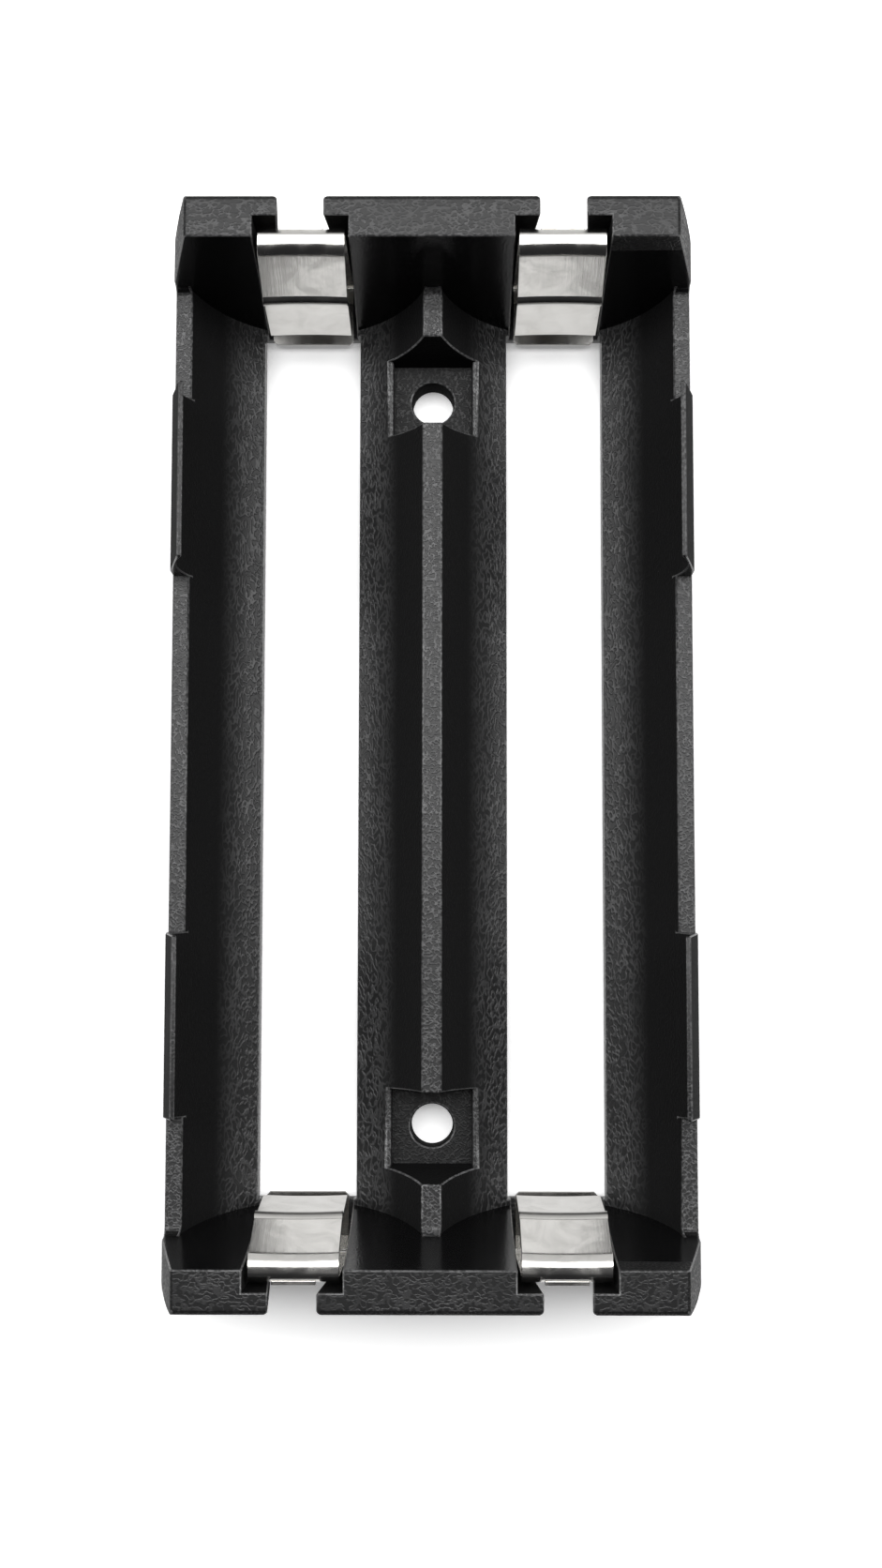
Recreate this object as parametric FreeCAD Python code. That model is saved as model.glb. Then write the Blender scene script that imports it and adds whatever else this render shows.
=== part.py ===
# Twin cylindrical battery holder: one moulded body and four folded spring contacts, in millimetres.
import FreeCAD, Part
import math
import os

# The cell that sets the troughs: a round cell with a raised top, and a sliding clearance all round.
cell_diameter = 18.3
cell_length = 66.0
cell_clearance = 0.05
cell_gap = 0.4

# The moulded body, outside: what it adds beside and beyond the cells, and how its edges run.
side_wall = 0.65
end_room = 6.0
body_height = 15.0
side_lean = 1.6
shoulder_height = 8.3
underside_chamfer = 4.4
corner_radius = 1.2
edge_radius = 0.3
end_edge_radius = 0.45

# The trough floor, and how far below the cell axis the side walls and the rib stop.
floor_thickness = 1.15
wall_drop = 3.15
wall_fillet = 0.7

# The end walls, measured from the end face inward at the top, beside the side walls and at the floor.
end_wall_top = 3.05
end_wall_middle = 4.25
end_wall_base = 5.75

# The T-shaped contact slots in the end walls and the long slots through the floor.
lip_thickness = 1.52
slot_side_room = 0.305
neck_side_room = 0.115
neck_corner_radius = 0.35
neck_flare = 1.15
floor_slot_width = 7.4
floor_slot_inset = 6.0

# The two screw pockets in the rib.
screw_inset = 11.5
screw_hole_diameter = 3.1
screw_hole_entry_diameter = 3.3
screw_entry_depth = 0.6
pocket_width = 6.1
pocket_length = 5.6
pocket_floor = 2.4
pocket_draft = 0.1
ledge_height = 3.3
pocket_slope = 0.2

# The retaining tabs on the side walls.
tab_inset = 12.5
tab_length = 13.4
tab_rise = 2.45
tab_shoulder_rise = 1.3
tab_belly = 0.52
tab_lean = 0.25
tab_tip_width = 0.38
tab_end_draft = 0.3
tab_end_radius = 0.15
tab_root = 0.5

# The cored groove under the rib.
core_length = 40.0
core_width = 4.0
core_tip_width = 1.8
core_depth = 4.3

# The folded contact strip.
strip_thickness = 0.3
strip_width = 6.25
strip_clearance = 0.08
strip_drop = 0.8
bend_radius = 0.6
foot_bend_radius = 0.45
foot_overhang = 0.55
foot_corner = 0.3
leg_top_inset = 2.2
strip_top_length = 1.4
leaf_bend_radius = 1.2
leaf_preload = 0.2
crest_height = 9.6
crest_radius = 0.8
valley_setback = 0.4
valley_height = 8.5
valley_radius = 0.6
tip_reach = 0.25
tip_height = 3.5
tongue_width = 3.05
tongue_gap = 0.1
tongue_length = 5.9

# How far a cutting solid runs past the surface it opens.
overrun = 5.0

trough_radius = cell_diameter / 2 + cell_clearance
trough_offset = (cell_diameter + cell_gap) / 2
axis_height = floor_thickness + trough_radius
half_width = trough_offset + trough_radius + side_wall
half_length = cell_length / 2 + end_room
body_length = 2 * half_length
wall_height = axis_height - wall_drop
tab_height = axis_height + tab_rise
tab_shoulder = wall_height + tab_shoulder_rise
contact_slot_width = strip_width + 2 * slot_side_room
neck_width = tongue_width + 2 * neck_side_room
strip_top = body_height - strip_drop
tongue_top = strip_top - strip_thickness
tongue_root = tongue_top - tongue_length
seat_level = floor_thickness - strip_thickness - strip_clearance
foot_reach = floor_slot_inset + foot_overhang
crest_inset = end_room + leaf_preload
valley_inset = crest_inset - valley_setback
tip_inset = crest_inset + tip_reach
reach = body_length

X = FreeCAD.Vector(1, 0, 0)
Y = FreeCAD.Vector(0, 1, 0)
Z = FreeCAD.Vector(0, 0, 1)


def vec(x, y, z):
    return FreeCAD.Vector(x, y, z)


def box(x0, x1, y0, y1, z0, z1):
    return Part.makeBox(x1 - x0, y1 - y0, z1 - z0, vec(x0, y0, z0))


def corner_arc(before, corner, after, radius):
    # The two tangent points and the middle point of a round of this radius at a corner.
    a = (before - corner).normalize()
    b = (after - corner).normalize()
    half = a.getAngle(b) / 2
    run = radius / math.tan(half)
    start = corner + a * run
    end = corner + b * run
    centre = corner + (a + b).normalize() * (radius / math.sin(half))
    middle = centre + (corner - centre).normalize() * radius
    return start, middle, end


def rounded_face(corners):
    # A closed flat outline from (point, radius) pairs, with a round wherever the radius is above zero.
    spans = []
    count = len(corners)
    for index in range(count):
        point, radius = corners[index]
        before = corners[index - 1][0]
        after = corners[(index + 1) % count][0]
        if radius > 0:
            spans.append(corner_arc(before, point, after, radius))
        else:
            spans.append((point, None, point))
    edges = []
    for index in range(count):
        start, middle, end = spans[index]
        if middle is not None:
            edges.append(Part.Arc(start, middle, end).toShape())
        following = spans[(index + 1) % count][0]
        if end.distanceToPoint(following) > 1e-6:
            edges.append(Part.makeLine(end, following))
    return Part.Face(Part.Wire(edges))


def along_x(face, x0, x1):
    face.translate(X * x0)
    return face.extrude(X * (x1 - x0))


def along_y(face, y0, y1):
    face.translate(Y * y0)
    return face.extrude(Y * (y1 - y0))


def outer_block():
    # The outside is the overlap of three outlines: from the end, from above and from the side.
    w = half_width
    t = half_width - side_lean
    c = underside_chamfer
    end_view = rounded_face([
        (vec(-w + c, 0, 0), 0),
        (vec(w - c, 0, 0), 0),
        (vec(w, 0, c), edge_radius),
        (vec(w, 0, shoulder_height), edge_radius),
        (vec(t, 0, body_height), edge_radius),
        (vec(-t, 0, body_height), edge_radius),
        (vec(-w, 0, shoulder_height), edge_radius),
        (vec(-w, 0, c), edge_radius),
    ])
    h = half_length
    plan = rounded_face([
        (vec(-w, -h, 0), corner_radius),
        (vec(w, -h, 0), corner_radius),
        (vec(w, h, 0), corner_radius),
        (vec(-w, h, 0), corner_radius),
    ])
    side_view = rounded_face([
        (vec(0, -h, 0), edge_radius),
        (vec(0, h, 0), edge_radius),
        (vec(0, h, body_height), end_edge_radius),
        (vec(0, -h, body_height), end_edge_radius),
    ])
    block = along_y(end_view, -h, h)
    block = block.common(plan.extrude(Z * body_height))
    return block.common(along_x(side_view, -w, w))


def bay_outline(floor, top):
    # The lengthwise outline of the bay: its ends follow the swept inner faces of the end walls.
    def inner(inset, height):
        return half_length - inset, height

    y_top, z_top = inner(end_wall_top, body_height)
    y_mid, z_mid = inner(end_wall_middle, wall_height)
    y_base, z_base = inner(end_wall_base, floor_thickness)
    rear = Part.Arc(vec(0, y_top, z_top), vec(0, y_mid, z_mid), vec(0, y_base, z_base)).toShape()
    front = rear.mirror(vec(0, 0, 0), Y)
    lift = vec(0, y_top, z_top + overrun)
    sink = vec(0, y_base, z_base - overrun)
    lines = Part.makePolygon([vec(0, y_top, z_top), lift, vec(0, -lift.y, lift.z), vec(0, -y_top, z_top)])
    under = Part.makePolygon([vec(0, y_base, z_base), sink, vec(0, -sink.y, sink.z), vec(0, -y_base, z_base)])
    edges = lines.Edges + under.Edges + [rear, front]
    face = Part.Face(Part.Wire(Part.__sortEdges__(edges)))
    solid = along_x(face, -half_width - overrun, half_width + overrun)
    return solid.common(box(-reach, reach, -reach, reach, floor, top))


def open_bay():
    # Everything above the side walls and the rib is open between the end walls.
    bay = bay_outline(wall_height, body_height + overrun)
    feet = []
    for edge in bay.Edges:
        points = [vertex.Point for vertex in edge.Vertexes]
        low = all(abs(point.z - wall_height) < 1e-4 for point in points)
        across = abs(points[0].y - points[-1].y) < 1e-4
        if low and across:
            feet.append(edge)
    return bay.makeFillet(wall_fillet, feet)


def trough(side):
    round_part = Part.makeCylinder(
        trough_radius, body_length, vec(side * trough_offset, -half_length, axis_height), Y)
    upper = box(
        side * trough_offset - trough_radius, side * trough_offset + trough_radius,
        -half_length, half_length, axis_height, body_height + overrun)
    return round_part.fuse(upper).common(bay_outline(0, body_height + overrun))


def floor_slot(side):
    x = side * trough_offset
    y = half_length - floor_slot_inset
    return box(x - floor_slot_width / 2, x + floor_slot_width / 2, -y, y, -overrun, axis_height)


def contact_slot(side):
    # The wide part for the strip, down to a flat seat sunk in the floor for its foot, and the neck.
    x = side * trough_offset
    wide = contact_slot_width / 2
    lip = half_length - lip_thickness
    inner = half_length - floor_slot_inset - overrun
    upper = box(x - wide, x + wide, inner, lip, seat_level, body_height + overrun)
    return upper.fuse(slot_neck(x, lip)).removeSplitter()


def neck_half_width(height):
    # The neck is cored from below, so it opens towards the underside.
    return neck_width / 2 + neck_flare * (1 - height / body_height)


def neck_prism(x, spread, y0, y1):
    low = -overrun
    high = body_height + overrun
    face = rounded_face([
        (vec(x - neck_half_width(low) - spread, 0, low), 0),
        (vec(x + neck_half_width(low) + spread, 0, low), 0),
        (vec(x + neck_half_width(high) + spread, 0, high), 0),
        (vec(x - neck_half_width(high) - spread, 0, high), 0),
    ])
    return along_y(face, y0, y1)


def slot_neck(x, lip):
    # The neck through the lip, with the two outer corners of the lip left rounded beside it.
    round_off = neck_corner_radius
    spread = round_off * math.hypot(neck_flare, body_height) / body_height
    throat = neck_prism(x, 0, lip - strip_thickness, half_length + overrun)
    mouth = neck_prism(x, spread, half_length - round_off, half_length + overrun)
    for side in (-1, 1):
        def axis(height):
            return vec(x + side * (neck_half_width(height) + spread), half_length - round_off, height)

        start = axis(-overrun)
        run = axis(body_height + overrun) - start
        mouth = mouth.cut(Part.makeCylinder(round_off, run.Length, start, run))
    return throat.fuse(mouth)


def screw_pocket():
    # The rib is cut away to a ledge on each side of a square pocket with drafted walls. One slope runs up its
    # outer end from the pocket floor, and a hole goes down through the floor.
    y_screw = half_length - screw_inset
    inner = y_screw - pocket_length / 2
    outer = y_screw + pocket_length / 2
    top = outer + pocket_slope * (body_height - pocket_floor)
    across = trough_offset / 2
    well = along_x(rounded_face([
        (vec(0, inner, pocket_floor), 0),
        (vec(0, outer, pocket_floor), 0),
        (vec(0, top, body_height), 0),
        (vec(0, inner, body_height), 0),
    ]), -across, across)
    wide = pocket_width / 2
    narrow = wide - pocket_draft
    end_view = along_y(rounded_face([
        (vec(-narrow, 0, pocket_floor), 0),
        (vec(narrow, 0, pocket_floor), 0),
        (vec(wide, 0, ledge_height), 0),
        (vec(across, 0, ledge_height), 0),
        (vec(across, 0, body_height), 0),
        (vec(-across, 0, body_height), 0),
        (vec(-across, 0, ledge_height), 0),
        (vec(-wide, 0, ledge_height), 0),
    ]), inner, top)
    hole = Part.makeCylinder(
        screw_hole_diameter / 2, body_height + overrun, vec(0, y_screw, -overrun), Z)
    entry = Part.makeCone(
        screw_hole_diameter / 2, screw_hole_entry_diameter / 2, screw_entry_depth,
        vec(0, y_screw, pocket_floor - screw_entry_depth), Z)
    return well.common(end_view).fuse([hole, entry])


def core_groove():
    wide = core_width / 2
    tip = core_tip_width / 2
    face = rounded_face([
        (vec(-wide, 0, -overrun), 0),
        (vec(wide, 0, -overrun), 0),
        (vec(wide, 0, 0), 0),
        (vec(tip, 0, core_depth), edge_radius),
        (vec(-tip, 0, core_depth), edge_radius),
        (vec(-wide, 0, 0), 0),
    ])
    return along_y(face, -core_length / 2, core_length / 2)


def trough_edge(height):
    # How far out the right trough reaches at this height.
    return trough_offset + math.sqrt(trough_radius ** 2 - (axis_height - height) ** 2)


def retaining_tab():
    # One tab on the right wall near the rear end: it rises with the wall and leans in over the cell.
    inner_foot = trough_edge(wall_height)
    belly_z = (wall_height + tab_height) / 2
    tip_inner = inner_foot - tab_lean
    tip_outer = tip_inner + tab_tip_width
    sunk = wall_height - tab_root
    belly = Part.Arc(
        vec(tip_inner, 0, tab_height), vec(inner_foot + tab_belly, 0, belly_z),
        vec(inner_foot, 0, wall_height)).toShape()
    rest = Part.makePolygon([
        vec(inner_foot, 0, wall_height),
        vec(trough_edge(sunk), 0, sunk),
        vec(half_width, 0, sunk),
        vec(half_width, 0, tab_shoulder),
        vec(tip_outer, 0, tab_height),
        vec(tip_inner, 0, tab_height),
    ])
    rear = half_length - tab_inset
    front = rear - tab_length
    solid = along_y(Part.Face(Part.Wire(belly.Edges + rest.Edges)), front, rear)
    side_view = rounded_face([
        (vec(0, front, sunk), 0),
        (vec(0, rear, sunk), 0),
        (vec(0, rear, wall_height), 0),
        (vec(0, rear - tab_end_draft, tab_height), tab_end_radius),
        (vec(0, front + tab_end_draft, tab_height), tab_end_radius),
        (vec(0, front, wall_height), 0),
    ])
    return solid.common(along_x(side_view, trough_offset, half_width))


def four_ways(shape):
    # The same shape at both sides and both ends.
    right = [shape, shape.mirror(vec(0, 0, 0), Y)]
    return right + [item.mirror(vec(0, 0, 0), X) for item in right]


def both_ends(shape):
    return [shape, shape.mirror(vec(0, 0, 0), Y)]


def make_body():
    body = outer_block()
    body = body.cut(open_bay())
    body = body.cut([trough(-1), trough(1)])
    body = body.fuse(four_ways(retaining_tab())).removeSplitter()
    body = body.cut([floor_slot(-1), floor_slot(1)])
    body = body.cut(four_ways(contact_slot(1)))
    body = body.cut(both_ends(screw_pocket()))
    body = body.cut(core_groove())
    return body.removeSplitter()


def strip_outline(points, radii, thickness):
    # A folded strip in the lengthwise plane: straight runs joined by bends, given along its middle line.
    half = thickness / 2
    left = []
    right = []
    count = len(points)
    for index in range(count - 1):
        run = (points[index + 1] - points[index]).normalize()
        normal = X.cross(run)
        start = points[index]
        end = points[index + 1]
        if index > 0:
            start = corner_arc(points[index - 1], points[index], points[index + 1], radii[index])[2]
        if index < count - 2:
            end = corner_arc(points[index], points[index + 1], points[index + 2], radii[index + 1])[0]
        left.append((start + normal * half, end + normal * half))
        right.append((start - normal * half, end - normal * half))
    edges = []
    for index in range(count - 1):
        edges.append(Part.makeLine(*left[index]))
        edges.append(Part.makeLine(*right[index]))
        if index < count - 2:
            first, middle, last = corner_arc(
                points[index], points[index + 1], points[index + 2], radii[index + 1])
            outward = (points[index + 1] - middle).normalize()
            turn = X.cross((points[index + 1] - points[index]).normalize())
            sign = 1 if turn.dot(outward) > 0 else -1
            edges.append(Part.Arc(
                left[index][1], middle + outward * half * sign, left[index + 1][0]).toShape())
            edges.append(Part.Arc(
                right[index][1], middle - outward * half * sign, right[index + 1][0]).toShape())
    edges.append(Part.makeLine(left[0][0], right[0][0]))
    edges.append(Part.makeLine(left[-1][1], right[-1][1]))
    return Part.Face(Part.Wire(Part.__sortEdges__(edges)))


def make_contact():
    # Built at the rear end on the middle plane, then moved to its slot.
    half = strip_thickness / 2

    def at(inset, height):
        return vec(0, half_length - inset, height)

    leg_top = leg_top_inset + half
    leg_foot = lip_thickness + strip_clearance + half
    foot_level = seat_level + strip_clearance + half
    path = [
        at(foot_reach, foot_level),
        at(leg_foot, foot_level),
        at(leg_top, strip_top - half),
        at(leg_top + strip_top_length, strip_top - half),
        at(crest_inset - half, crest_height),
        at(valley_inset - half, valley_height),
        at(tip_inset - half, tip_height),
    ]
    radii = [0, foot_bend_radius, bend_radius, leaf_bend_radius, crest_radius, valley_radius, 0]
    face = strip_outline(path, radii, strip_thickness)
    wide = strip_width / 2
    strip = along_x(face, -wide, wide)

    # The tongue is cut free from the outer leg on three sides and stands out into the neck.
    slope = (leg_top - leg_foot) / (strip_top - half - foot_level)
    root = leg_foot + slope * (tongue_root - foot_level)
    tongue_wide = tongue_width / 2
    window = box(
        -tongue_wide - tongue_gap, tongue_wide + tongue_gap,
        half_length - leg_top - half, half_length - leg_foot + half, tongue_root, strip_top - 2 * bend_radius)
    tongue = along_x(rounded_face([
        (at(root + half, tongue_root - half), 0),
        (at(root + half, tongue_top), 0),
        (at(root - half, tongue_top), 0),
        (at(root - half, tongue_root - half), 0),
    ]), -tongue_wide, tongue_wide)
    strip = strip.cut(window).fuse(tongue)

    # The corners of the foot are clipped.
    y_foot = half_length - foot_reach
    for side in (-1, 1):
        clip = rounded_face([
            (vec(side * wide, y_foot, foot_level - strip_thickness), 0),
            (vec(side * (wide - foot_corner), y_foot, foot_level - strip_thickness), 0),
            (vec(side * wide, y_foot + foot_corner, foot_level - strip_thickness), 0),
        ])
        strip = strip.cut(clip.extrude(Z * strip_thickness * 2))
    return strip.removeSplitter()


def placed(shape, side, end):
    # A half turn about the vertical carries the rear contact to the front end.
    copy = shape.copy()
    if end < 0:
        copy.rotate(vec(0, 0, 0), Z, 180)
    copy.translate(X * (side * trough_offset))
    return copy


os.makedirs("parts", exist_ok=True)
contact = make_contact()
nodes = {
    "body": make_body(),
    "contact_rear_left": placed(contact, -1, 1),
    "contact_rear_right": placed(contact, 1, 1),
    "contact_front_left": placed(contact, -1, -1),
    "contact_front_right": placed(contact, 1, -1),
}
for name, shape in nodes.items():
    shape.exportStep("parts/" + name + ".step")
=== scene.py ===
import math
import bmesh
import bpy
from mathutils import Matrix, Vector


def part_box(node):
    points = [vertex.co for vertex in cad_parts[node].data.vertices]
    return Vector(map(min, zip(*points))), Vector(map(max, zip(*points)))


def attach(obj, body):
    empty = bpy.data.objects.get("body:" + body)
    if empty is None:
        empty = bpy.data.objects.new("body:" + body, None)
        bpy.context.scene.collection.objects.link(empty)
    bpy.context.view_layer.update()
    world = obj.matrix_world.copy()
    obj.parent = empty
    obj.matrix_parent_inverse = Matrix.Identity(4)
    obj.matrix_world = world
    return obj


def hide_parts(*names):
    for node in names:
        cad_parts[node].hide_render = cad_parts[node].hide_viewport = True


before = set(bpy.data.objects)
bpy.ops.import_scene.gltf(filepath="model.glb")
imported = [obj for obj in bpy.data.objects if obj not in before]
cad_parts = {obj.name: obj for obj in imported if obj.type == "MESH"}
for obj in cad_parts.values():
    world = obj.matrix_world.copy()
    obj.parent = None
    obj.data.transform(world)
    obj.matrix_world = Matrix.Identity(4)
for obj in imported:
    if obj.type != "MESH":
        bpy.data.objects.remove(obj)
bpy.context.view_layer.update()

# The housing: one injection moulding in matte black nylon that carries both cells. Its mould was spark eroded,
# which leaves a fine worm-like grain on the tops and troughs, and its edges come out softly rounded. The inner
# faces of the end walls come off a polished core and are smooth.
mm = 0.001
nylon_black = (0.004, 0.004, 0.0042, 1)
# Lighter colour for the grain's ridges: part wear, part a painted sheen for the light they catch.
nylon_sheen_and_wear = (0.14, 0.14, 0.142, 1)
grain_scale = 3300.0
grain_ridges = [(0.38, 0.0), (0.47, 1.0), (0.53, 1.0), (0.62, 0.0)]
patch_scale = 300.0
patch_depths = [(0.35, 0.45), (0.65, 1.0)]
sheen_and_wear_by_height = [(0.0, 0.2), (1.0, 1.0)]
unrubbed_roughness = 0.95
edge_round = 0.1 * mm
round_from = math.radians(35)
sharp_fold = math.radians(25)
facet_fold = math.radians(0.6)
same_point = 1e-7
weld_distance = 0.03 * mm
sliver_area = 0.5 * mm * mm
bay_half_length = 35.9 * mm
end_wall_inside = 38.5 * mm
well_half_width = 17 * mm
tab_outside = 18.6 * mm
low_top = 10 * mm
rib_middle = 0.1 * mm
pocket_half_width = 4 * mm
pocket_depth = 3 * mm
pocket_start = 23.5 * mm
pocket_end = 31.5 * mm
screw_from_centre = 27.5 * mm
hole_reach = 2.2 * mm
top_facing = 0.97
rib_facing = 0.3
end_wall_facing = 0.5
pocket_end_facing = 0.2
pocket_side_facing = 0.1
end_tops, polished, rubbed_sheen_edges, troughs, satin, low_tops, shaded, pockets = range(8)


def shader_nodes(owner):
    # The nodes of a material or of the room, a way to fill a node's inputs, and a way to add a node. Each input
    # is given a number, a colour, or the output that feeds it.
    owner.use_nodes = True
    tree = owner.node_tree

    def fill(node, inputs):
        for name, value in inputs.items():
            if isinstance(value, bpy.types.NodeSocket):
                tree.links.new(value, node.inputs[name])
            else:
                node.inputs[name].default_value = value

    def add(kind, inputs=None, **settings):
        node = tree.nodes.new(kind)
        for name, value in settings.items():
            setattr(node, name, value)
        fill(node, inputs or {})
        return node

    return tree.nodes, fill, add


def ramp(add, value, stops):
    # A colour ramp from grey levels or colours, given as (place, level) pairs.
    node = add("ShaderNodeValToRGB", {"Fac": value})
    elements = node.color_ramp.elements
    while len(elements) < len(stops):
        elements.new(0.5)
    for element, (place, level) in zip(elements, stops):
        element.position = place
        element.color = level if isinstance(level, tuple) else (level, level, level, 1)
    return node.outputs["Color"]


def eased(add, value, span, levels):
    # Passes softly from the first level to the second while the value runs over its span.
    return add("ShaderNodeMapRange", {
        "Value": value, "From Min": span[0], "From Max": span[1], "To Min": levels[0], "To Max": levels[1],
    }, interpolation_type="SMOOTHSTEP").outputs["Result"]


def spark_eroded_nylon(name, grain_depth, sheen_and_wear_share, gloss_range, shine, lie=(1, 1, 1), painted_shade_and_rough_above=None):
    # A fine wandering grain, deeper in some patches than in others, with its ridges painted lighter: partly rubbing
    # wear, partly a painted sheen for the glints on them.
    material = bpy.data.materials.new(name)
    nodes, fill, add = shader_nodes(material)
    place = add("ShaderNodeTexCoord").outputs["Object"]
    laid = add("ShaderNodeMapping", {"Vector": place, "Scale": lie}).outputs["Vector"]
    grain = add("ShaderNodeTexNoise", {
        "Vector": laid, "Scale": grain_scale, "Detail": 0.5, "Roughness": 0.5}).outputs["Fac"]
    patches = add("ShaderNodeTexNoise", {
        "Vector": place, "Scale": patch_scale, "Detail": 2.0, "Roughness": 0.6}).outputs["Fac"]
    raised = add("ShaderNodeMath", {
        0: ramp(add, grain, grain_ridges), 1: ramp(add, patches, patch_depths)}, operation="MULTIPLY").outputs["Value"]
    roughness = ramp(add, raised, [(0.0, gloss_range[1]), (1.0, gloss_range[0])])
    if painted_shade_and_rough_above is not None:
        # Higher up the trough walls the lighter ridge colour fades away, a painted shade that darkens the steep walls,
        # and the surface grows rougher.
        height = add("ShaderNodeSeparateXYZ", {"Vector": place}).outputs["Z"]
        sheen_and_wear_share = eased(add, height, painted_shade_and_rough_above, (sheen_and_wear_share, 0.0))
        roughness = eased(add, height, painted_shade_and_rough_above, (roughness, unrubbed_roughness))
    sheen_and_wear = add("ShaderNodeMath", {
        0: ramp(add, raised, sheen_and_wear_by_height), 1: sheen_and_wear_share}, operation="MULTIPLY").outputs["Value"]
    colour = add("ShaderNodeMix", {"A": nylon_black, "B": nylon_sheen_and_wear, "Factor": sheen_and_wear}, data_type="RGBA")
    bump = add("ShaderNodeBump", {"Height": raised, "Strength": 1.0, "Distance": grain_depth})
    fill(nodes["Principled BSDF"], {
        "Base Color": colour.outputs["Result"], "Normal": bump.outputs["Normal"], "Roughness": roughness,
        "Specular IOR Level": shine})
    return material


def finish_of(face):
    # The finish of one face of the moulding, told by where it lies and which way it looks.
    middle = face.calc_center_median()
    side, out = abs(middle.x), abs(middle.y)
    along, up = abs(face.normal.y), face.normal.z
    sloped = up < top_facing
    in_bay = out < bay_half_length
    in_well = side < well_half_width and bay_half_length < out < end_wall_inside
    in_pocket = side < pocket_half_width and pocket_start < out < pocket_end
    in_hole = math.hypot(middle.x, out - screw_from_centre) < hole_reach and sloped
    if in_bay and side < rib_middle and middle.z > pocket_depth and up > rib_facing:
        return low_tops
    if in_pocket and (along > pocket_end_facing or up < pocket_side_facing or in_hole):
        return shaded
    if in_bay and along > end_wall_facing:
        return polished
    if in_well and sloped:
        return shaded
    if in_bay and sloped:
        return satin if side > tab_outside else troughs
    if sloped or side < pocket_half_width and middle.z < pocket_depth:
        return pockets
    return low_tops if middle.z < low_top else end_tops


def smooth_mesh(shape, name):
    for face in shape.faces:
        face.smooth = True
    mesh = bpy.data.meshes.new(name)
    shape.to_mesh(mesh)
    shape.free()
    return mesh


def housing_copy():
    # The moulding's own surface, welded, with its flat faces joined up and its outer edges rounded.
    shell = bmesh.new()
    shell.from_mesh(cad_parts["body"].data)
    bmesh.ops.remove_doubles(shell, verts=shell.verts, dist=same_point)
    bmesh.ops.dissolve_limit(
        shell, angle_limit=facet_fold, use_dissolve_boundaries=False, verts=shell.verts, edges=shell.edges)
    bmesh.ops.remove_doubles(shell, verts=shell.verts, dist=weld_distance)
    for face in shell.faces:
        face.material_index = finish_of(face)
    # Thin three-cornered strips at the ends of the troughs' facets are joined to their neighbours.
    strips = [
        face for face in shell.faces
        if face.material_index == troughs and len(face.verts) == 3 and face.calc_area() < sliver_area]
    longest = dict.fromkeys(max(face.edges, key=lambda edge: edge.calc_length()) for face in strips)
    within = [edge for edge in longest if all(face.material_index == troughs for face in edge.link_faces)]
    bmesh.ops.dissolve_edges(shell, edges=within, use_verts=False)
    for edge in shell.edges:
        edge.smooth = edge.calc_face_angle(0) < sharp_fold
    outer_edges = [edge for edge in shell.edges if edge.is_convex and edge.calc_face_angle(0) > round_from]
    rounds = set(bmesh.ops.bevel(
        shell, geom=outer_edges, offset=edge_round, offset_type="OFFSET", segments=2, profile=0.5,
        affect="EDGES", material=-1, clamp_overlap=False, loop_slide=True)["faces"])
    # The rounds take the edge finish, lighter both from rubbing and as a painted highlight along the edges.
    for face in rounds:
        face.material_index = rubbed_sheen_edges
        for edge in face.edges:
            edge.smooth = all(side in rounds for side in edge.link_faces)
    return smooth_mesh(shell, "housing")


def piece(name, mesh, materials):
    item = bpy.data.objects.new(name, mesh)
    bpy.context.scene.collection.objects.link(item)
    for material in materials:
        mesh.materials.append(material)
    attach(item, "root")
    return item


# One finish for each of the numbers that finish_of gives, in their order. Their shares of the lighter ridge colour are
# partly wear and partly painted sheen, so some finishes are painted lighter than others.
nylon_finishes = [
    spark_eroded_nylon(
        "spark_eroded_end_tops", grain_depth=0.015 * mm, sheen_and_wear_share=0.31, gloss_range=(0.22, 0.36), shine=0.34,
        lie=(0.75, 1.1, 1)),
    spark_eroded_nylon(
        "polished_nylon", grain_depth=0.003 * mm, sheen_and_wear_share=0.02, gloss_range=(0.16, 0.2), shine=0.17),
    spark_eroded_nylon(
        "rubbed_sheen_nylon_edge", grain_depth=0.01 * mm, sheen_and_wear_share=1.0, gloss_range=(0.22, 0.32), shine=0.5),
    spark_eroded_nylon(
        "spark_eroded_troughs", grain_depth=0.036 * mm, sheen_and_wear_share=0.4, gloss_range=(0.2, 0.3), shine=0.22,
        lie=(1, 0.55, 1), painted_shade_and_rough_above=(2.4 * mm, 4.2 * mm)),
    spark_eroded_nylon(
        "spark_eroded_satin", grain_depth=0.03 * mm, sheen_and_wear_share=0.25, gloss_range=(0.28, 0.5), shine=0.5),
    spark_eroded_nylon(
        "spark_eroded_low_tops", grain_depth=0.034 * mm, sheen_and_wear_share=0.6, gloss_range=(0.2, 0.34), shine=0.36),
    spark_eroded_nylon(
        "cored_nylon", grain_depth=0.01 * mm, sheen_and_wear_share=0.0, gloss_range=(0.85, 0.95), shine=0.1),
    spark_eroded_nylon(
        "spark_eroded_pockets", grain_depth=0.034 * mm, sheen_and_wear_share=0.07, gloss_range=(0.3, 0.6), shine=0.25),
]
housing = piece("housing", housing_copy(), nylon_finishes)
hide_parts("body")

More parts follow.
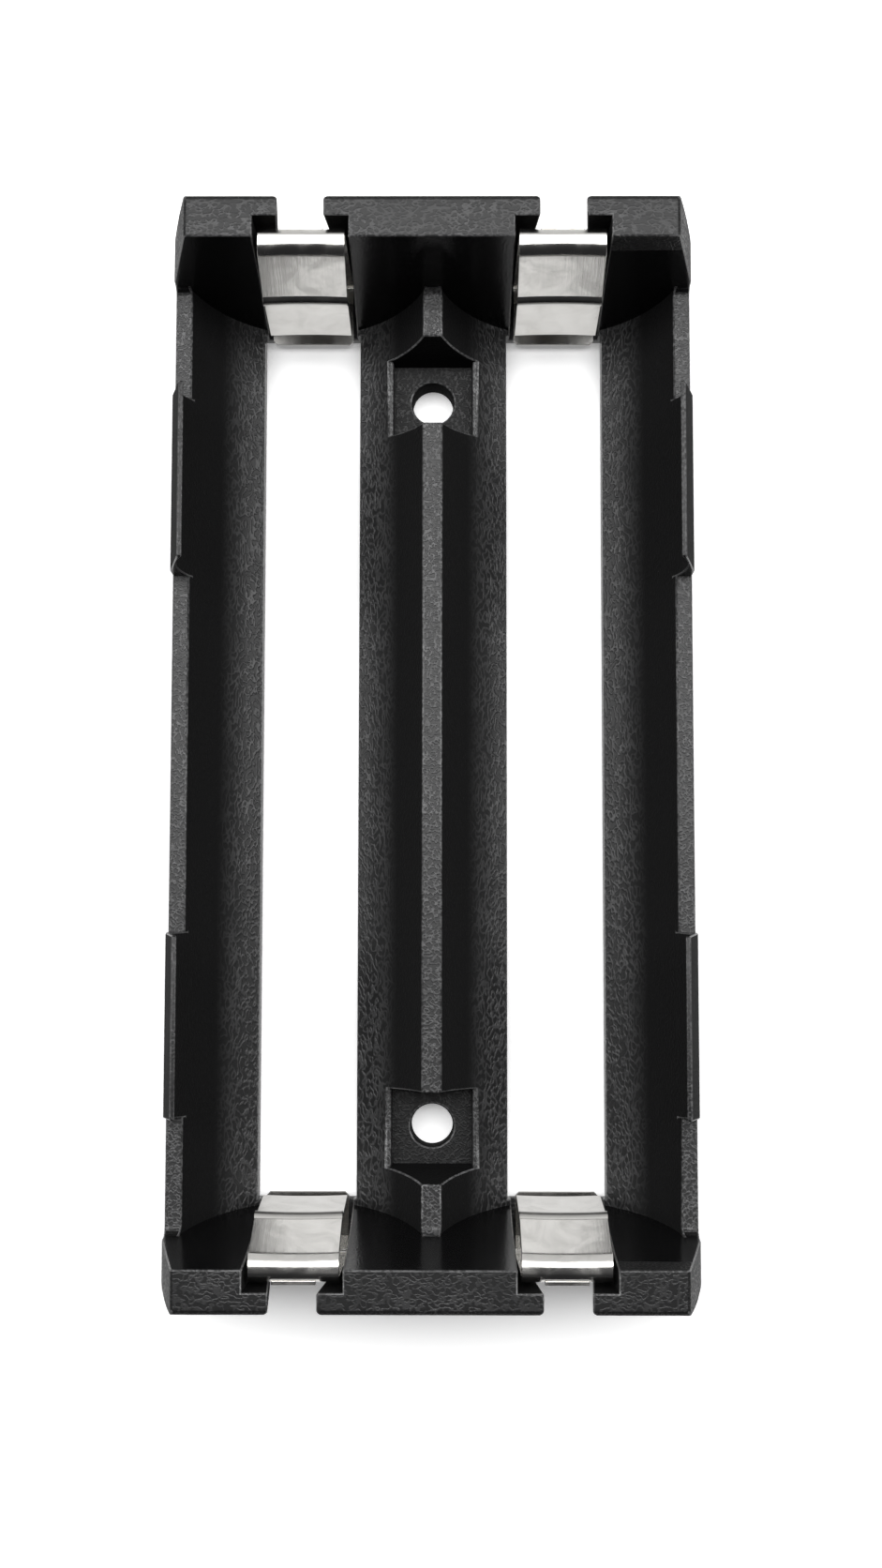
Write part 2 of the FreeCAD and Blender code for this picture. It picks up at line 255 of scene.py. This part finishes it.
# The four contacts: nickel-plated spring strip, sheared to width and folded. The outer leg stands behind the
# lip of the end wall, the leaf slants back over the trough to press on the cell, the foot lies in a seat sunk in
# the trough floor, and a tongue cut free from the leg stands out into the neck of the slot.
nickel = (0.86, 0.845, 0.815, 1)
nickel_smeared = (0.74, 0.725, 0.695, 1)
smear_scale = 350.0
smear_gloss = [(0.42, 0.17), (0.62, 0.25)]
smear_tint = [(0.35, nickel), (0.75, nickel_smeared)]
smear_height = 0.25
drawn_scale = 5000.0
drawn_stretch = (1.0, 0.05, 0.05)
drawn_depth = 0.01 * mm
drawn_strength = 0.4
painted_shade_span = 20
painted_shade_heights = [(1.4, 0.4), (1.7, 0.9), (9.56, 0.9), (9.72, 0.25), (9.84, 0.25), (10.0, 1.0)]
strip_thickness = 0.3 * mm
strip_width = 6.25 * mm
strip_middle_line = [
    (-6.45, 1.0), (-1.75, 1.0), (-2.2, 14.05), (-3.65, 14.05), (-5.6, 9.95), (-6.08, 9.68), (-5.68, 8.5),
    (-6.3, 3.5)]
bend_radii = [0.45, 0.55, 0.95, 0.3, 0.3, 0.6]
bend_steps = 12
hollow_lines = [-2.4, -0.8, 0, 0.8, 2.4]
hollow_radius = 65 * mm
leaf_front = -3.2 * mm
leg_back = -2.6 * mm
sheared_edge = 0.04 * mm
sheared_from = math.radians(50)
tongue_width = 3.05 * mm
tongue_gap = 0.1 * mm
tongue_root = 8.0 * mm
tongue_top = 13.9 * mm
window_top = 13.0 * mm
foot_corner = 0.3 * mm
foot_top = 1.3 * mm
end_face = 39.0 * mm
contacts = {
    "contact_rear_left": 0, "contact_rear_right": 0, "contact_front_left": math.pi, "contact_front_right": math.pi}


def same(one, other):
    return abs(one - other) < 1e-6


def folded_strip():
    # The strip's middle surface, widened from its middle line and then bent. Here y counts from the end face.
    strip = bmesh.new()
    corners = [Vector((0, y * mm, z * mm)) for y, z in strip_middle_line]
    line = [strip.verts.new((-strip_width / 2, corner.y, corner.z)) for corner in corners]
    edges = [strip.edges.new(pair) for pair in zip(line, line[1:])]
    widened = bmesh.ops.extrude_edge_only(strip, edges=edges)["geom"]
    moved = [item for item in widened if isinstance(item, bmesh.types.BMVert)]
    bmesh.ops.translate(strip, verts=moved, vec=(strip_width, 0, 0))
    for before, corner, after, radius in zip(corners, corners[1:], corners[2:], bend_radii):
        turn = (corner - before).angle(after - corner)
        folds = [
            edge for edge in strip.edges
            if all(same(v.co.y, corner.y) and same(v.co.z, corner.z) for v in edge.verts)]
        bmesh.ops.bevel(
            strip, geom=folds, offset=radius * mm * math.tan(turn / 2), offset_type="OFFSET", segments=bend_steps,
            profile=0.5, affect="EDGES", material=-1, clamp_overlap=False)
    return strip


def mark_line(strip, point, normal):
    bmesh.ops.bisect_plane(
        strip, geom=strip.verts[:] + strip.edges[:] + strip.faces[:], dist=same_point, plane_co=point,
        plane_no=normal)


def cut_tongue(strip):
    # The window is cut in the outer leg, and the tongue is drawn up from its lower edge.
    tongue_side = tongue_width / 2
    window_side = tongue_side + tongue_gap
    for x in [-window_side, -tongue_side, tongue_side, window_side] + [line * mm for line in hollow_lines]:
        mark_line(strip, (x, 0, 0), (1, 0, 0))
    for z in (tongue_root, window_top):
        mark_line(strip, (0, 0, z), (0, 0, 1))
    opened = []
    for face in strip.faces:
        middle = face.calc_center_median()
        if middle.y > leg_back and abs(middle.x) < window_side and tongue_root < middle.z < window_top:
            opened.append(face)
    bmesh.ops.delete(strip, geom=opened, context="FACES")
    roots = [
        edge for edge in strip.edges
        if all(same(v.co.z, tongue_root) and v.co.y > leg_back for v in edge.verts)
        and abs(sum(v.co.x for v in edge.verts)) / 2 < tongue_side]
    drawn = bmesh.ops.extrude_edge_only(strip, edges=roots)["geom"]
    tips = [item for item in drawn if isinstance(item, bmesh.types.BMVert)]
    bmesh.ops.translate(strip, verts=tips, vec=(0, 0, tongue_top - tongue_root))


def clip_foot(strip):
    foot_end = min(v.co.y for v in strip.verts if v.co.z < foot_top)
    clipped = [
        v for v in strip.verts
        if v.co.z < foot_top and same(v.co.y, foot_end) and same(abs(v.co.x), strip_width / 2)]
    bmesh.ops.bevel(
        strip, geom=clipped, offset=foot_corner, offset_type="OFFSET", segments=1, profile=0.5,
        affect="VERTICES", material=-1, clamp_overlap=False)


def contact_mesh(name, turn, centre):
    strip = folded_strip()
    cut_tongue(strip)
    # Folding has left the leaf a little hollow across its width.
    for v in strip.verts:
        if v.co.y < leaf_front and v.co.z > foot_top:
            v.co.y -= v.co.x ** 2 / (2 * hollow_radius)
    clip_foot(strip)
    bmesh.ops.recalc_face_normals(strip, faces=strip.faces)
    bmesh.ops.rotate(strip, verts=strip.verts, cent=(0, 0, 0), matrix=Matrix.Rotation(turn, 3, "Z"))
    bmesh.ops.translate(strip, verts=strip.verts, vec=centre)
    return smooth_mesh(strip, name)


def nickel_plate():
    # Bright plating with faint drawn lines along the strip and finger smears. On the leaf and foot a painted shade is
    # laid in: a dark line along the crest, a slightly darker leaf below it, and a darker foot under the leaf's end.
    material = bpy.data.materials.new("nickel_plate")
    nodes, fill, add = shader_nodes(material)
    place = add("ShaderNodeTexCoord").outputs["Object"]
    stretched = add("ShaderNodeMapping", {"Vector": place, "Scale": drawn_stretch}).outputs["Vector"]
    drawn = add("ShaderNodeTexNoise", {
        "Vector": stretched, "Scale": drawn_scale, "Detail": 3.0, "Roughness": 0.6}).outputs["Fac"]
    smear = add("ShaderNodeTexNoise", {
        "Vector": place, "Scale": smear_scale, "Detail": 4.0, "Roughness": 0.6, "Distortion": 1.2}).outputs["Fac"]
    spot = add("ShaderNodeSeparateXYZ", {"Vector": place}).outputs
    # Painted shade by height, kept to the leaf and foot and off the leg and tongue.
    rise = add("ShaderNodeMapRange", {"Value": spot["Z"], "From Max": painted_shade_span * mm}).outputs["Result"]
    painted_shade = ramp(add, rise, [(place / painted_shade_span, share) for place, share in painted_shade_heights])
    out = add("ShaderNodeMath", {0: spot["Y"]}, operation="ABSOLUTE").outputs["Value"]
    on_leaf = add("ShaderNodeMath", {0: out, 1: end_face + leaf_front}, operation="LESS_THAN").outputs["Value"]
    colour = add("ShaderNodeMix", {
        "Factor": on_leaf, "A": ramp(add, smear, smear_tint), "B": painted_shade}, data_type="RGBA", blend_type="MULTIPLY")
    relief = add("ShaderNodeMath", {0: smear, 1: smear_height, 2: drawn}, operation="MULTIPLY_ADD")
    bump = add("ShaderNodeBump", {
        "Height": relief.outputs["Value"], "Strength": drawn_strength, "Distance": drawn_depth})
    fill(nodes["Principled BSDF"], {
        "Base Color": colour.outputs["Result"], "Normal": bump.outputs["Normal"],
        "Roughness": ramp(add, smear, smear_gloss), "Metallic": 1.0})
    return material


plate = nickel_plate()
for node, turn in contacts.items():
    low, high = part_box(node)
    end = -end_face if turn else end_face
    centre = Vector(((low.x + high.x) / 2, end, 0))
    contact = piece(node.replace("contact", "spring"), contact_mesh(node, turn, centre), [plate])
    thicken = contact.modifiers.new("strip_thickness", "SOLIDIFY")
    thicken.thickness = strip_thickness
    thicken.offset = 0
    thicken.use_even_offset = True
    shear = contact.modifiers.new("sheared_edge", "BEVEL")
    shear.width = sheared_edge
    shear.segments = 2
    shear.limit_method = "ANGLE"
    shear.angle_limit = sheared_from
    shear.profile = 0.5
    shear.harden_normals = True
    shear.use_clamp_overlap = False
    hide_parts(node)

# The floor: a white paper sweep, flat under and in front of the holder and turned up behind it. It shows white to
# the camera and in the metal, and still takes the holder's soft shadow.
paper_half_width = 1.6
paper_front = -1.2
paper_height = 1.75
turn_start = 0.6
turn_radius = 0.4
turn_steps = 16
paper_white = (0.9, 0.9, 0.9, 1)
paper_roughness = 0.9
shadow_reach = 0.15
plain_from = 0.5
glow_by_holder = 0.25
paper_by_holder = 1.2
glow_in_metal = 0.58
paper_in_metal = 0.26


def white_sweep():
    sweep = bmesh.new()
    start = [sweep.verts.new((side * paper_half_width, paper_front, 0)) for side in (-1, 1)]
    edge = sweep.edges.new(start)
    line = [(turn_start, 0)]
    for step in range(1, turn_steps + 1):
        angle = math.radians(90) * step / turn_steps
        line.append((turn_start + turn_radius * math.sin(angle), turn_radius * (1 - math.cos(angle))))
    line.append((turn_start + turn_radius, paper_height))
    for y, z in line:
        grown = bmesh.ops.extrude_edge_only(sweep, edges=[edge])["geom"]
        edge = [item for item in grown if isinstance(item, bmesh.types.BMEdge)
                and all(v in grown for v in item.verts)][0]
        for v in edge.verts:
            v.co.y, v.co.z = y, z
    bmesh.ops.recalc_face_normals(sweep, faces=sweep.faces)
    return smooth_mesh(sweep, "white_sweep")


def sweep_paper():
    material = bpy.data.materials.new("sweep_paper")
    nodes, fill, add = shader_nodes(material)
    paper = nodes["Principled BSDF"]
    fill(paper, {"Base Color": paper_white, "Roughness": paper_roughness, "Specular IOR Level": 0.0})

    def lit_white(glow_strength, grey):
        # Paper that adds a glow of its own to what it throws back.
        glow = add("ShaderNodeEmission", {"Strength": glow_strength}).outputs["Emission"]
        thrown = add("ShaderNodeBsdfDiffuse", {"Color": (grey, grey, grey, 1)}).outputs["BSDF"]
        return add("ShaderNodeAddShader", {0: glow, 1: thrown}).outputs["Shader"]

    def either(ray, seen, otherwise):
        return add("ShaderNodeMixShader", {"Fac": ray, 1: otherwise, 2: seen}).outputs["Shader"]

    path = add("ShaderNodeLightPath").outputs
    by_metal = add("ShaderNodeMath", {
        0: path["Is Glossy Ray"], 1: path["Is Transmission Ray"]}, operation="MAXIMUM").outputs["Value"]
    lit = either(by_metal, lit_white(glow_in_metal, paper_in_metal), paper.outputs["BSDF"])
    # Away from the holder's shadow the paper is seen as plain white.
    place = add("ShaderNodeTexCoord").outputs["Object"]
    away = add("ShaderNodeVectorMath", {0: place}, operation="LENGTH").outputs["Value"]
    glow = eased(add, away, (shadow_reach, plain_from), (glow_by_holder, 1.0))
    seen = either(path["Is Camera Ray"], lit_white(glow, paper_by_holder), lit)
    fill(nodes["Material Output"], {"Surface": seen})
    return material


floor = bpy.data.objects.new("floor", white_sweep())
floor.data.materials.append(sweep_paper())
bpy.context.scene.collection.objects.link(floor)

# The light: one wide softbox above the rear of the holder, in a dim room. Past the edges of the paper the camera
# sees plain white in place of the room.
softbox_elevation = math.radians(75)
softbox_distance = 0.5
softbox_width = 2.0
softbox_depth = 0.28
softbox_watts = 7.9
room_grey = (0.02, 0.02, 0.021, 1)
plain_white = (1, 1, 1, 1)

softbox_direction = Vector((0, math.cos(softbox_elevation), math.sin(softbox_elevation)))
softbox = bpy.data.lights.new("softbox", "AREA")
softbox.shape = "RECTANGLE"
softbox.size = softbox_width
softbox.size_y = softbox_depth
softbox.energy = softbox_watts
softbox_object = bpy.data.objects.new("softbox", softbox)
softbox_object.location = softbox_direction * softbox_distance
softbox_object.rotation_euler = softbox_direction.to_track_quat("Z", "Y").to_euler()
bpy.context.scene.collection.objects.link(softbox_object)

room = bpy.data.worlds.new("dim_room")
nodes, fill, add = shader_nodes(room)
dim = nodes["Background"]
fill(dim, {"Color": room_grey})
plain = add("ShaderNodeBackground", {"Color": plain_white})
seen_or_lit = add("ShaderNodeMixShader", {
    "Fac": add("ShaderNodeLightPath").outputs["Is Camera Ray"],
    1: dim.outputs["Background"], 2: plain.outputs["Background"]})
fill(nodes["World Output"], {"Surface": seen_or_lit.outputs["Shader"]})
bpy.context.scene.world = room
bpy.context.scene.view_settings.view_transform = "Standard"

# The camera: close above the holder, a little to the front, looking almost straight down. Its place, turn and
# focal length were fitted to the corners of the holder.
eye = Vector((1.278, -13.413, 143.362)) * mm
tilt = (-0.08133, -0.00452, -0.00079)
focal_pixels = 1989.4
frame_width_pixels = 941
film_width = 36
nearest_seen = 0.01

lens = bpy.data.cameras.new("product_camera")
lens.sensor_fit = "HORIZONTAL"
lens.sensor_width = film_width
lens.lens = focal_pixels / frame_width_pixels * film_width
lens.clip_start = nearest_seen
camera = bpy.data.objects.new("product_camera", lens)
looking = Matrix.Rotation(tilt[2], 4, "Z") @ Matrix.Rotation(tilt[1], 4, "Y") @ Matrix.Rotation(tilt[0], 4, "X")
camera.matrix_world = Matrix.Translation(eye) @ looking.transposed()
bpy.context.scene.collection.objects.link(camera)
bpy.context.scene.camera = camera
